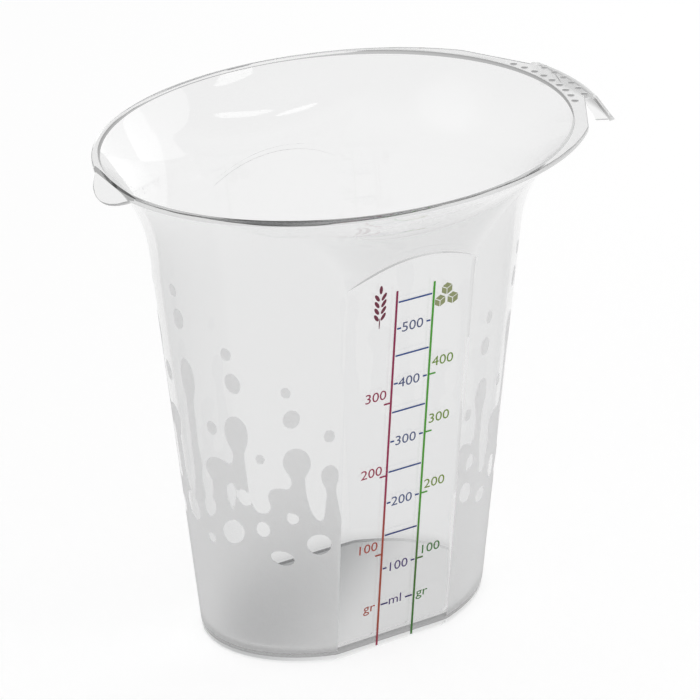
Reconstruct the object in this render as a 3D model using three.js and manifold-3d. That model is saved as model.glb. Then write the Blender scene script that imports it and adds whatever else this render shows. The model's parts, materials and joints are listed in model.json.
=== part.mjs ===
// A clear plastic measuring jug: one moulded body with a rolled-out rim, a small
// pouring beak and a drooping thumb tab, and three printed scales on its front panel.
// Millimetres, +Z up. The front panel faces -Y, the beak points to -X and the tab to +X.
// Z = 0 is the surface that the jug stands on.

import * as THREE from 'three';
import { mergeVertices } from 'three/addons/utils/BufferGeometryUtils.js';
import Module from 'manifold-3d';

const wasm = await Module();
wasm.setup();

// Walls and height
const height = 150;
const wall = 1.8;
const floorTop = 2.9;
const floorFillet = 3.0;

// Foot: the outer face at the resting plane, and the shallow recess under the floor
const footBeakReach = 44.2;
const footTabReach = 44.5;
const footHalfWidth = 30.4;
const footRingWidth = 2.4;
const footRecess = 1.2;

// Draft: how far each side leans out for each millimetre of height
const beakDraft = 0.0965;
const tabDraft = 0.0675;
const sideDraft = 0.0845;

// Mouth: the inner edge of the rim, and how the wall flares out to meet it
const mouthBeakReach = 68.55;
const mouthTabReach = 66.15;
const mouthHalfWidth = 53.1;
const flareHeight = 32;
const flarePower = 2.4;

// Flat flange around the mouth: how far it stands out past the wall at its two ends, and
// the straight shoulder on each side of the tab, a margin outside the mouth's edge
const flangeThickness = 1.5;
const flangeBeakOverhang = 0.85;
const flangeTabOverhang = 5.45;
const shoulderMargin = 4.5;
const shoulderSlope = 0.613;

// Flat panels at the front and back: how far the face is set into the oval at the foot,
// its lean, its half width and the height and radius of the arch that ends it
const panelFootInset = 2.65;
const panelDraft = 0.0837;
const panelHalfWidth = 18.9;
const archTop = 128.8;
const archRadius = 37.5;

// Pouring beak: a half-moon lip that slopes down and out from the mouth's edge
const beakHalfWidth = 11.9;
const beakRootInset = 0.45;
const beakLength = 5.0;
const beakDrop = 3.9;
const beakThickness = 1.0;
const beakPlanPower = 2.1;
const beakRootDepth = 10;

// Thumb tab: a tongue that rolls over and slopes down from the flange, closed at each of
// its two sides by a cheek; it ends level, so that its lower edges lie in one plane
const tabHalfWidth = 13.7;
const tabFlatOverhang = 0.3;
const tabPlanRadius = 48.8;
const tabRollRadius = 4.3;
const tabSlopeDegrees = 53;
const tabDroop = 9.6;
const tabThickness = 1.5;
const tabCheekWidth = 1.5;
const tabCheekRootDepth = 3.2;
const tabRootDepth = 11;

// Grip pips: two rows on arcs that share the tab's centre, each set in from its roll
const pipRadius = 1.05;
const pipHeight = 0.4;
const pipRoot = 0.5;
const pipPitchDegrees = 5.13;
const innerPipRowInset = 4.75;
const outerPipRowInset = 0.85;
const innerPipSteps = 4;
const outerPipSteps = 3;

// Printed scales: ink thickness, its clearance to the panel and between two inks
const inkThickness = 0.15;
const inkSeat = 0.25;
const inkGap = 0.3;
const scaleLineWidth = 0.6;
const scaleBottom = 1.2;
const scaleTopMargin = 3.6;
const flourLineOffset = -5.3;
const sugarLineOffset = 6.3;
const markWidth = 0.45;
const volumeTickLength = 1.2;
const weightTickLength = 1.9;
const unitHeight = 15.4;
const unitDashLength = 2.3;

// What the scales measure: millilitres, and grams from the density of what is poured in
const volumeStep = 100;
const volumeLimit = 550;
const flourStep = 100;
const flourLimit = 300;
const flourDensity = 0.815;
const sugarStep = 100;
const sugarLimit = 400;
const sugarDensity = 1.0;

// Fineness of the curved surfaces
const roundSegments = 96;
const straightBands = 3;
const flareBands = 9;
const filletBands = 3;
const archSegments = 20;
const rollSegments = 5;
const tabSegments = 120;
const beakSegments = 20;
const pipSegments = 10;
const volumeSlices = 600;

// Room that a cutting shape takes past what it cuts, how deep a filling shape sinks
// into what it joins, and how near two vertices are one
const over = 2;
const sink = 0.9;
const vertexMerge = 1e-5;

const flareStart = height - flareHeight;
const flangeUnderside = height - flangeThickness;
const panelFootDistance = footHalfWidth - panelFootInset;
const panelLean = Math.atan(panelDraft);

// One named profile for each direction in which the wall leans
const wallProfiles = {
  beak: { foot: footBeakReach - wall, draft: beakDraft, mouth: mouthBeakReach },
  tab: { foot: footTabReach - wall, draft: tabDraft, mouth: mouthTabReach },
  side: { foot: footHalfWidth - wall, draft: sideDraft, mouth: mouthHalfWidth },
};

function innerReach({ foot, draft, mouth }, z) {
  const flare = mouth - foot - draft * height;
  const climb = Math.max(0, z - flareStart) / flareHeight;
  return foot + draft * z + flare * climb ** flarePower;
}

function lean({ foot, draft, mouth }, z) {
  const flare = mouth - foot - draft * height;
  const climb = Math.max(0, z - flareStart) / flareHeight;
  return draft + (flare * flarePower * climb ** (flarePower - 1)) / flareHeight;
}

function outerReach(profile, z) {
  return innerReach(profile, z) + wall * Math.hypot(1, lean(profile, z));
}

// How far the flange, the tab and the beak reach, each from what it grows out of
const flangeBeakReach = outerReach(wallProfiles.beak, flangeUnderside) + flangeBeakOverhang;
const flangeTabReach = outerReach(wallProfiles.tab, flangeUnderside) + flangeTabOverhang;
const flangeHalfWidth = outerReach(wallProfiles.side, flangeUnderside);
const shoulderReach = Math.hypot(mouthTabReach, shoulderSlope * mouthHalfWidth) + shoulderMargin;
const tabSlope = THREE.MathUtils.degToRad(tabSlopeDegrees);
const tabRollStart = flangeTabReach + tabFlatOverhang;
const tabRollDrop = tabRollRadius * (1 - Math.cos(tabSlope));
const tabTipReach = tabRollStart + tabRollRadius * Math.sin(tabSlope)
  + (tabDroop - tabRollDrop) / Math.tan(tabSlope);
const beakRootReach = mouthBeakReach - beakRootInset;
const beakTipReach = beakRootReach + beakLength;

// A closed section: two half ellipses that meet on the middle plane
function ovalRing(reach, z, inset = 0) {
  const beak = reach(wallProfiles.beak, z) - inset;
  const tab = reach(wallProfiles.tab, z) - inset;
  const side = reach(wallProfiles.side, z) - inset;
  const ring = [];
  for (let i = 0; i < roundSegments; i += 1) {
    const angle = (2 * Math.PI * i) / roundSegments;
    const c = Math.cos(angle);
    ring.push([(c > 0 ? tab : beak) * c, side * Math.sin(angle), z]);
  }
  return ring;
}

// A closed mesh through a stack of rings, with a fan over each end
function loft(rings) {
  const positions = [];
  const indices = [];
  const count = rings[0].length;
  for (const ring of rings) {
    for (const point of ring) positions.push(...point);
  }
  for (let row = 0; row < rings.length - 1; row += 1) {
    for (let i = 0; i < count; i += 1) {
      const next = (i + 1) % count;
      const a = row * count + i;
      const b = row * count + next;
      indices.push(a, b, b + count, a, b + count, a + count);
    }
  }
  const addCap = (row, upward) => {
    const centre = positions.length / 3;
    positions.push(0, 0, rings[row][0][2]);
    for (let i = 0; i < count; i += 1) {
      const a = row * count + i;
      const b = row * count + ((i + 1) % count);
      indices.push(centre, upward ? a : b, upward ? b : a);
    }
  };
  addCap(0, false);
  addCap(rings.length - 1, true);
  const geometry = new THREE.BufferGeometry();
  geometry.setAttribute('position', new THREE.Float32BufferAttribute(positions, 3));
  geometry.setIndex(indices);
  return geometry;
}

function toSolid(geometry) {
  const bare = geometry.clone();
  bare.deleteAttribute('normal');
  bare.deleteAttribute('uv');
  const merged = mergeVertices(bare, vertexMerge);
  return new wasm.Manifold(new wasm.Mesh({
    numProp: 3,
    vertProperties: new Float32Array(merged.attributes.position.array),
    triVerts: new Uint32Array(merged.index.array),
  }));
}

function toGeometry(solid) {
  const mesh = solid.getMesh();
  const geometry = new THREE.BufferGeometry();
  geometry.setAttribute('position', new THREE.BufferAttribute(mesh.vertProperties, 3));
  geometry.setIndex(new THREE.BufferAttribute(mesh.triVerts, 1));
  geometry.computeVertexNormals();
  return geometry;
}

function box(low, high) {
  const size = high.map((value, axis) => value - low[axis]);
  const geometry = new THREE.BoxGeometry(...size);
  geometry.translate(...low.map((value, axis) => value + size[axis] / 2));
  return geometry;
}

// Heights at which a lofted wall has a ring
function wallHeights(bottom, top) {
  const heights = [];
  for (let i = 0; i <= straightBands; i += 1) {
    heights.push(THREE.MathUtils.lerp(bottom, flareStart, i / straightBands));
  }
  for (let i = 1; i <= flareBands; i += 1) {
    const share = Math.sqrt(i / flareBands);
    heights.push(THREE.MathUtils.lerp(flareStart, top, share));
  }
  return heights;
}

function outerWall() {
  return toSolid(loft(wallHeights(0, flangeUnderside).map((z) => ovalRing(outerReach, z))));
}

// The hollow: a rounded start at the floor, then the wall's inner face up past the rim
function hollowOval() {
  const rings = [];
  for (let i = 0; i < filletBands; i += 1) {
    const angle = (Math.PI / 2) * (i / filletBands);
    const inset = floorFillet * (1 - Math.sin(angle));
    rings.push(ovalRing(innerReach, floorTop + floorFillet * (1 - Math.cos(angle)), inset));
  }
  for (const z of wallHeights(floorTop + floorFillet, height)) rings.push(ovalRing(innerReach, z));
  rings.push(ovalRing(innerReach, height + over));
  return toSolid(loft(rings));
}

// What lies outside a panel's face: an arch-topped block that leans with the panel.
// depth moves its face into the jug and grows the arch by the same amount.
function panelBlock(side, depth) {
  const radius = archRadius + depth;
  const halfWidth = panelHalfWidth + depth;
  const start = Math.acos(halfWidth / radius);
  const stretch = 1 / Math.cos(panelLean);
  const outline = new THREE.Shape();
  outline.moveTo(-halfWidth, -over * stretch);
  outline.lineTo(halfWidth, -over * stretch);
  for (let i = 0; i <= archSegments; i += 1) {
    const angle = THREE.MathUtils.lerp(start, Math.PI - start, i / archSegments);
    const z = archTop - archRadius + radius * Math.sin(angle);
    outline.lineTo(radius * Math.cos(angle), z * stretch);
  }
  outline.closePath();
  const block = new THREE.ExtrudeGeometry(outline, { depth: flangeHalfWidth, bevelEnabled: false });
  block.rotateX(Math.PI / 2);
  block.translate(0, depth, 0);
  block.rotateX(panelLean);
  block.translate(0, -panelFootDistance, 0);
  if (side > 0) block.rotateZ(Math.PI);
  return toSolid(block);
}

// The inner corner between the floor and a panel, rounded like the rest of the floor's edge
function panelFillet(side) {
  const face = panelFootDistance - wall * Math.hypot(1, panelDraft) + panelDraft * floorTop;
  const outline = new THREE.Shape();
  outline.moveTo(-face - sink, floorTop - sink);
  outline.lineTo(-face + floorFillet, floorTop - sink);
  for (let i = 0; i <= filletBands; i += 1) {
    const angle = (Math.PI / 2) * (i / filletBands);
    const y = -face + floorFillet * (1 - Math.sin(angle));
    outline.lineTo(y, floorTop + floorFillet * (1 - Math.cos(angle)));
  }
  outline.lineTo(-face - sink, floorTop + floorFillet);
  outline.closePath();
  const halfLength = panelHalfWidth - wall;
  const strip = new THREE.ExtrudeGeometry(outline, { depth: 2 * halfLength, bevelEnabled: false });
  // The outline is drawn as (y, z) and runs along x
  strip.applyMatrix4(new THREE.Matrix4().makeBasis(
    new THREE.Vector3(0, 1, 0),
    new THREE.Vector3(0, 0, 1),
    new THREE.Vector3(1, 0, 0),
  ));
  strip.translate(-halfLength, 0, 0);
  if (side > 0) strip.rotateZ(Math.PI);
  return toSolid(strip);
}

// The recess under the floor: the foot's own outline, one ring width further in
function footHollow() {
  const flat = panelFootDistance - footRingWidth;
  const ring = (z) => ovalRing(outerReach, 0, footRingWidth).map(([x, y]) => [
    x,
    THREE.MathUtils.clamp(y, -flat, flat),
    z,
  ]);
  return toSolid(loft([ring(-over), ring(footRecess)]));
}

function flangePlate() {
  const outline = new THREE.Shape();
  for (let i = 0; i < roundSegments; i += 1) {
    const angle = (2 * Math.PI * i) / roundSegments;
    const c = Math.cos(angle);
    const x = (c > 0 ? flangeTabReach : flangeBeakReach) * c;
    const y = flangeHalfWidth * Math.sin(angle);
    const lineReach = x + shoulderSlope * Math.abs(y);
    const scale = lineReach > shoulderReach ? shoulderReach / lineReach : 1;
    if (i === 0) outline.moveTo(x * scale, y * scale);
    else outline.lineTo(x * scale, y * scale);
  }
  outline.closePath();
  const plate = new THREE.ExtrudeGeometry(outline, { depth: flangeThickness, bevelEnabled: false });
  plate.translate(0, 0, flangeUnderside);
  return toSolid(plate);
}

// A face of the tab in section, seen from its centre: it rolls over, then slopes down
function tabFace(radius) {
  const lowest = height - tabDroop;
  const points = [];
  for (let i = 0; i <= rollSegments; i += 1) {
    const angle = tabSlope * (i / rollSegments);
    points.push(new THREE.Vector2(
      tabPlanRadius + radius * Math.sin(angle),
      height - tabRollRadius + radius * Math.cos(angle),
    ));
  }
  const { x, y } = points.at(-1);
  points.push(new THREE.Vector2(x + (y - lowest) / Math.tan(tabSlope), lowest));
  return points;
}

// A section under the tab's upper face, turned about the tab's centre and kept between
// two lines across the jug; inner lists its other points, from the top inwards
function tabSlice(inner, from, to) {
  const profile = [...inner, ...tabFace(tabRollRadius).reverse(), inner[0]];
  const band = new THREE.LatheGeometry(profile, tabSegments);
  band.rotateX(Math.PI / 2);
  band.translate(tabRollStart - tabPlanRadius, 0, 0);
  const slice = box(
    [tabRollStart - tabRootDepth, from, height - tabDroop - over],
    [tabTipReach + over, to, height + over],
  );
  return toSolid(band).intersect(toSolid(slice));
}

function thumbTab() {
  const root = tabPlanRadius - tabRootDepth;
  const tongue = [
    new THREE.Vector2(root, height),
    new THREE.Vector2(root, height - tabThickness),
    ...tabFace(tabRollRadius - tabThickness),
  ];
  const cheekRoot = tabPlanRadius - tabCheekRootDepth;
  const cheek = [
    new THREE.Vector2(cheekRoot, height),
    new THREE.Vector2(cheekRoot, height - tabDroop),
  ];
  const cheekInside = tabHalfWidth - tabCheekWidth;
  return tabSlice(tongue, -tabHalfWidth, tabHalfWidth)
    .add(tabSlice(cheek, -tabHalfWidth, -cheekInside))
    .add(tabSlice(cheek, cheekInside, tabHalfWidth));
}

// Grip pips on the flat part of the tab
function pipRow(inset, steps) {
  const centreX = tabRollStart - tabPlanRadius;
  const rowRadius = tabPlanRadius - inset;
  const pips = [];
  const profile = [
    new THREE.Vector2(0, -pipRoot),
    new THREE.Vector2(pipRadius, -pipRoot),
    new THREE.Vector2(pipRadius, 0),
    new THREE.Vector2(pipRadius * Math.SQRT1_2, pipHeight * Math.SQRT1_2),
    new THREE.Vector2(0, pipHeight),
  ];
  for (let step = -steps; step <= steps; step += 1) {
    const angle = THREE.MathUtils.degToRad(pipPitchDegrees * step);
    const pip = new THREE.LatheGeometry(profile, pipSegments);
    pip.rotateX(Math.PI / 2);
    pip.translate(
      centreX + rowRadius * Math.cos(angle),
      rowRadius * Math.sin(angle),
      height,
    );
    pips.push(toSolid(pip));
  }
  return pips;
}

// Column over the beak's plan: a half moon that starts well inside the mouth's edge.
// extra lengthens it outwards.
function beakColumn(extra, top) {
  const outline = new THREE.Shape();
  outline.moveTo(-beakRootReach + beakRootDepth, beakHalfWidth);
  for (let i = 0; i <= beakSegments; i += 1) {
    const share = 1 - (2 * i) / beakSegments;
    const bulge = beakLength * (1 - Math.abs(share) ** beakPlanPower);
    outline.lineTo(-beakRootReach - bulge - extra, beakHalfWidth * share);
  }
  outline.lineTo(-beakRootReach + beakRootDepth, -beakHalfWidth);
  outline.closePath();
  const bottom = height - (beakDrop * (beakLength + extra)) / beakLength - beakThickness - over;
  const column = new THREE.ExtrudeGeometry(outline, { depth: top - bottom, bevelEnabled: false });
  column.translate(0, 0, bottom);
  return toSolid(column);
}

// A slab that slopes with the beak; low and high are its faces' offsets from the beak's top
function beakSlab(low, high) {
  const slab = box(
    [-flangeBeakReach, -beakHalfWidth - over, low],
    [flangeBeakReach, beakHalfWidth + over, high],
  );
  slab.rotateY(-Math.atan2(beakDrop, beakLength));
  slab.translate(-beakRootReach, 0, height);
  return toSolid(slab);
}

function jugBody() {
  const beak = beakColumn(0, height).intersect(beakSlab(-beakThickness, 0));
  const spoutGap = beakColumn(flangeBeakReach - beakRootReach + over, height + over)
    .intersect(beakSlab(0, height));
  let outside = outerWall()
    .subtract(panelBlock(-1, 0))
    .subtract(panelBlock(1, 0))
    .add(flangePlate())
    .add(thumbTab());
  for (const pip of pipRow(innerPipRowInset, innerPipSteps)) outside = outside.add(pip);
  for (const pip of pipRow(outerPipRowInset, outerPipSteps)) outside = outside.add(pip);
  outside = outside.subtract(spoutGap).add(beak);
  const hollow = hollowOval()
    .subtract(panelBlock(-1, wall))
    .subtract(panelBlock(1, wall))
    .subtract(panelFillet(-1))
    .subtract(panelFillet(1));
  return outside.subtract(hollow).subtract(footHollow());
}

// Volume held below a height, in millilitres, from the area of each level section
function sectionArea(z) {
  const side = innerReach(wallProfiles.side, z);
  const flat = panelFootDistance + panelDraft * z - wall * Math.hypot(1, panelDraft);
  const share = z < archTop ? Math.min(1, flat / side) : 1;
  const quarter = (Math.asin(share) + share * Math.sqrt(1 - share ** 2)) / 2;
  const length = innerReach(wallProfiles.beak, z) + innerReach(wallProfiles.tab, z);
  return 2 * length * side * quarter;
}

function heightForVolume(millilitres) {
  const slice = (height - floorTop) / volumeSlices;
  let held = 0;
  for (let z = floorTop; z < height; z += slice) {
    const step = (sectionArea(z + slice / 2) * slice) / 1000;
    if (held + step >= millilitres) return z + (slice * (millilitres - held)) / step;
    held += step;
  }
  return height;
}

const inkColours = {
  flour: new THREE.Color(0.62, 0.16, 0.33),
  sugar: new THREE.Color(0.35, 0.68, 0.18),
  volume: new THREE.Color(0.22, 0.33, 0.6),
};

function inkMesh(name, colour, solid) {
  const material = new THREE.MeshStandardMaterial({ color: colour, roughness: 0.45, metalness: 0 });
  const mesh = new THREE.Mesh(toGeometry(solid), material);
  mesh.name = name;
  return mesh;
}

// A flat bar of ink, drawn on the panel: across is x, up is the way up the sloping face
function inkBar(left, right, bottom, top) {
  return toSolid(box([left, -inkSeat - inkThickness, bottom], [right, -inkSeat, top]));
}

function markBar(left, right, z) {
  const up = z / Math.cos(panelLean);
  return inkBar(left, right, up - markWidth / 2, up + markWidth / 2);
}

// A weight scale is one print: a long line with a tick for each step on its outer side
function weightScale(name, colour, lineX, outward, step, limit, density) {
  const halfLine = scaleLineWidth / 2;
  const top = (heightForVolume(volumeLimit) + scaleTopMargin) / Math.cos(panelLean);
  let print = inkBar(lineX - halfLine, lineX + halfLine, scaleBottom, top);
  for (let grams = step; grams <= limit; grams += step) {
    const ends = [lineX, lineX + outward * (halfLine + weightTickLength)];
    print = print.add(markBar(Math.min(...ends), Math.max(...ends), heightForVolume(grams / density)));
  }
  return inkMesh(name, colour, print);
}

function printedScales() {
  const left = flourLineOffset + scaleLineWidth / 2 + inkGap;
  const right = sugarLineOffset - scaleLineWidth / 2 - inkGap;
  const panel = new THREE.Group();
  panel.position.set(0, -panelFootDistance, 0);
  panel.rotation.x = panelLean;
  panel.add(weightScale(
    'flour_scale', inkColours.flour, flourLineOffset, -1, flourStep, flourLimit, flourDensity,
  ));
  panel.add(weightScale(
    'sugar_scale', inkColours.sugar, sugarLineOffset, 1, sugarStep, sugarLimit, sugarDensity,
  ));
  const addMark = (name, from, to, z) => {
    panel.add(inkMesh(name, inkColours.volume, markBar(from, to, z)));
  };
  for (let ml = volumeStep; ml <= volumeLimit; ml += volumeStep) {
    const tickHeight = heightForVolume(ml);
    const rungVolume = ml + volumeStep / 2;
    addMark(`volume_tick_left_${ml}`, left, left + volumeTickLength, tickHeight);
    addMark(`volume_tick_right_${ml}`, right - volumeTickLength, right, tickHeight);
    if (rungVolume <= volumeLimit) {
      addMark(`volume_rung_${rungVolume}`, left, right, heightForVolume(rungVolume));
    }
  }
  addMark('volume_unit_dash_left', left, left + unitDashLength, unitHeight);
  addMark('volume_unit_dash_right', right - unitDashLength, right, unitHeight);
  return panel;
}

function measuringJug() {
  const body = new THREE.Mesh(
    toGeometry(jugBody()),
    new THREE.MeshStandardMaterial({
      color: new THREE.Color(0.9, 0.91, 0.92),
      roughness: 0.12,
      metalness: 0,
      transparent: true,
      opacity: 0.35,
    }),
  );
  body.name = 'jug_body';
  const jug = new THREE.Group();
  jug.name = 'measuring_jug';
  jug.add(body, printedScales());

  // The origin lies midway between the tip of the beak and the tip of the tab
  jug.position.x = (beakTipReach - tabTipReach) / 2;
  return jug;
}

export default measuringJug();
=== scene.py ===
"""A clear plastic measuring jug with a frosted splash on its flanks, in a plain white studio.

The frame's solids set every size and place. The body is modelled anew, smooth and with rounded
edges, and stands for the faceted one; the printed marks are the frame's own. Sizes are
millimetres, and metres in the studio, in the materials and where an object is made.
"""

import json
import logging
import math
from dataclasses import dataclass, field
from enum import Enum
from typing import Callable, Iterable, Sequence

import bmesh
import bpy
import numpy as np
from mathutils import Matrix, Vector

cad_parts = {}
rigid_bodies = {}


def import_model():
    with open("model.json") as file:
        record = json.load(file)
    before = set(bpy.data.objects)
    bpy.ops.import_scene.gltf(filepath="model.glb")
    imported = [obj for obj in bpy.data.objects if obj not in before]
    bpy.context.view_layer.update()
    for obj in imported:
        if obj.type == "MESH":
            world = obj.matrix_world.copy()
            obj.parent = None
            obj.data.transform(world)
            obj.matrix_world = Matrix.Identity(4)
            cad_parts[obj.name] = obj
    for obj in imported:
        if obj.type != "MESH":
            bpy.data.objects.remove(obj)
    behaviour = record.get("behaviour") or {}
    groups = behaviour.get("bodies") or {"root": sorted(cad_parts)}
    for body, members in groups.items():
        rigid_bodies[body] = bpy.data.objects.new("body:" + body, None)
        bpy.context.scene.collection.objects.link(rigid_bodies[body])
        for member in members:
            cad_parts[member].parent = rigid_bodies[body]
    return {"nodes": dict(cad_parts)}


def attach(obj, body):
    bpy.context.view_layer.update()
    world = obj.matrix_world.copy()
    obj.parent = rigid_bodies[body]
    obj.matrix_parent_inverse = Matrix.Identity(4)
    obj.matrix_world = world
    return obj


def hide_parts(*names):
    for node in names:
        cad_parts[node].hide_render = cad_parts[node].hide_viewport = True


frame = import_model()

MM = 0.001
SIDES = (-1, 1)
log = logging.getLogger("measuring_jug")

Draft = bmesh.types.BMesh
Vert = bmesh.types.BMVert
Edge = bmesh.types.BMEdge
Face = bmesh.types.BMFace
Solid = bpy.types.Object
Node = bpy.types.Node
Socket = bpy.types.NodeSocket
Material = bpy.types.Material
World = bpy.types.World
Spot = tuple[float, float, float] | Vector
Line = list[tuple[float, float]]
Colour = tuple[float, float, float]
Shape = Callable[[float], Vector]


class Skin(Enum):
    """The two faces of the jug's wall."""

    INNER = "inner"
    OUTER = "outer"


class Slot(Enum):
    """Material slots of the moulded body, in order."""

    CLEAR = 0
    FLANK = 1
    BASE = 2


class Mark(Enum):
    """Values that the body carries at its corners."""

    FROST = "frost"
    # Marks the textured face under the foot, where the material also paints shadow.
    GRAIN_AND_SHADE = "grain"


class Join(Enum):
    """How one solid meets another."""

    ADD = "UNION"
    CUT = "DIFFERENCE"


@dataclass(frozen=True)
class WallProfile:
    """How the wall leans and flares in one direction, in millimetres."""

    foot: float
    draft: float
    mouth: float


@dataclass(frozen=True)
class JugForm:
    """The jug's driving sizes, in millimetres, with Z = 0 where it stands."""

    height: float = 150.0
    wall: float = 1.8
    floor_top: float = 2.9
    floor_fillet: float = 3.0
    foot_ring: float = 2.4
    foot_recess: float = 1.2
    flare_height: float = 32.0
    flare_power: float = 2.4
    beak: WallProfile = WallProfile(foot=42.4, draft=0.0965, mouth=68.55)
    tab: WallProfile = WallProfile(foot=42.7, draft=0.0675, mouth=66.15)
    side: WallProfile = WallProfile(foot=28.6, draft=0.0845, mouth=53.1)
    flange_thickness: float = 1.5
    flange_beak_overhang: float = 0.85
    flange_tab_overhang: float = 5.45
    shoulder_margin: float = 4.5
    shoulder_slope: float = 0.613
    panel_foot: float = 27.75
    panel_draft: float = 0.0837
    panel_half_width: float = 18.9
    arch_top: float = 128.8
    arch_radius: float = 37.5
    beak_half_width: float = 11.9
    beak_root_inset: float = 0.45
    beak_length: float = 5.0
    beak_drop: float = 3.9
    beak_thickness: float = 1.0
    beak_power: float = 2.1
    beak_root_depth: float = 10.0
    tab_half_width: float = 13.7
    tab_flat_overhang: float = 0.3
    tab_plan_radius: float = 48.8
    tab_roll_radius: float = 4.3
    tab_slope: float = math.radians(53.0)
    tab_droop: float = 9.6
    tab_thickness: float = 1.5
    tab_cheek_width: float = 1.5
    tab_cheek_root: float = 1.2
    tab_cheek_foot: float = 6.4
    tab_cheek_rise: float = 1.2
    rim_thinning: float = 0.55
    beak_thinning: float = 0.8
    front_step: float = 1.9
    back_step: float = 0.08
    inner_step: float = 0.04
    eased_height: float = 18.0
    tab_root_depth: float = 11.0
    pip_radius: float = 1.05
    pip_height: float = 0.4
    pip_pitch: float = math.radians(5.13)
    pip_rows: tuple[tuple[float, int], ...] = ((4.75, 4), (0.85, 3))

    @property
    def flare_start(self) -> float:
        """Height at which the wall begins to flare."""
        return self.height - self.flare_height

    @property
    def flange_underside(self) -> float:
        """Height of the flange's lower face."""
        return self.height - self.flange_thickness

    @property
    def panel_lean(self) -> float:
        """Angle of the flat panels from upright."""
        return math.atan(self.panel_draft)

    @property
    def tab_roll_start(self) -> float:
        """Distance from the foot's centre at which the tab begins to roll over."""
        reach = self.reach(self.tab, self.flange_underside, Skin.OUTER)
        return reach + self.flange_tab_overhang + self.tab_flat_overhang

    @property
    def tab_tip(self) -> float:
        """How far out the tab's tip lies.

        Returns:
            Distance from the foot's centre.
        """
        roll_drop = self.tab_roll_radius * (1 - math.cos(self.tab_slope))
        run = (self.tab_droop - roll_drop) / math.tan(self.tab_slope)
        return self.tab_roll_start + self.tab_roll_radius * math.sin(self.tab_slope) + run

    @property
    def beak_root(self) -> float:
        """Distance from the foot's centre to the line from which the beak slopes."""
        return self.beak.mouth - self.beak_root_inset

    @property
    def centre_x(self) -> float:
        """Where the foot's centre lies, with the origin midway between the two tips."""
        return (self.beak_root + self.beak_length - self.tab_tip) / 2

    def reach(self, profile: WallProfile, z: float, skin: Skin) -> float:
        """How far the wall reaches in one direction.

        Args:
            profile: The direction's lean and flare.
            z: Height.
            skin: The inner or the outer face.

        Returns:
            Distance from the foot's centre.
        """
        flare = profile.mouth - profile.foot - profile.draft * self.height
        climb = max(0.0, z - self.flare_start) / self.flare_height
        inner = profile.foot + profile.draft * z + flare * climb**self.flare_power
        if skin is Skin.INNER:
            return inner
        lean = profile.draft
        lean += flare * self.flare_power * climb ** (self.flare_power - 1) / self.flare_height
        return inner + self.wall * math.hypot(1.0, lean)

    def thinned(self, turn: float, z: float) -> float:
        """How far in the outer face is drawn below the flange, where the wall gets thinner.

        Args:
            turn: Angle round the section, from the tab.
            z: Height.

        Returns:
            The distance, which is largest under the beak.
        """
        most = self.rim_thinning + self.beak_thinning * max(0.0, -math.cos(turn)) ** 6
        return most * (max(0.0, z - self.flare_start) / self.flare_height) ** 1.5

    def oval(self, turn: float, z: float, skin: Skin, inset: float = 0.0) -> Vector:
        """A point of the oval section.

        Args:
            turn: Angle round the section, from the tab.
            z: Height.
            skin: The inner or the outer face.
            inset: How far in from that face.

        Returns:
            The point, from the foot's centre.
        """
        lengthwise = self.tab if math.cos(turn) > 0 else self.beak
        x = (self.reach(lengthwise, z, skin) - inset) * math.cos(turn)
        y = (self.reach(self.side, z, skin) - inset) * math.sin(turn)
        return Vector((x, self.eased(y, z, skin), z))

    def eased(self, y: float, z: float, skin: Skin) -> float:
        """Draws the wall above a panel's arch in, so that it stands out from the panel by little.

        Args:
            y: Where the wall lies across the jug.
            z: Height.
            skin: The inner or the outer face.

        Returns:
            Where it lies once it is drawn in.
        """
        plane = self.panel_foot + z * self.panel_draft
        step = self.front_step if y < 0 else self.back_step
        if skin is Skin.INNER:
            plane -= self.wall / math.cos(self.panel_lean)
            step = self.inner_step
        proud = abs(y) - plane
        if proud <= 0.0:
            return y
        along = min(1.0, max(0.0, (z - self.arch_top) / self.eased_height))
        share = 1.0 - along * along * (3.0 - 2.0 * along)
        return y - math.copysign(share * (proud - step * math.tanh(proud / step)), y)

    def flange(self, turn: float, z: float, inset: float = 0.0) -> Vector:
        """A point of the flange's outline.

        Args:
            turn: Angle round the section, from the tab.
            z: Height.
            inset: How far in towards the centre.

        Returns:
            The point, from the foot's centre.
        """
        low = self.flange_underside
        if math.cos(turn) > 0:
            length = self.reach(self.tab, low, Skin.OUTER) + self.flange_tab_overhang
        else:
            length = self.reach(self.beak, low, Skin.OUTER) + self.flange_beak_overhang
        point = Vector((
            length * math.cos(turn),
            self.reach(self.side, low, Skin.OUTER) * math.sin(turn),
            0.0,
        ))
        limit = math.hypot(self.tab.mouth, self.shoulder_slope * self.side.mouth)
        limit += self.shoulder_margin
        line = point.x + self.shoulder_slope * abs(point.y)
        if line > limit:
            point *= limit / line
        point *= 1 - inset / point.length
        point.z = z
        return point


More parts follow.
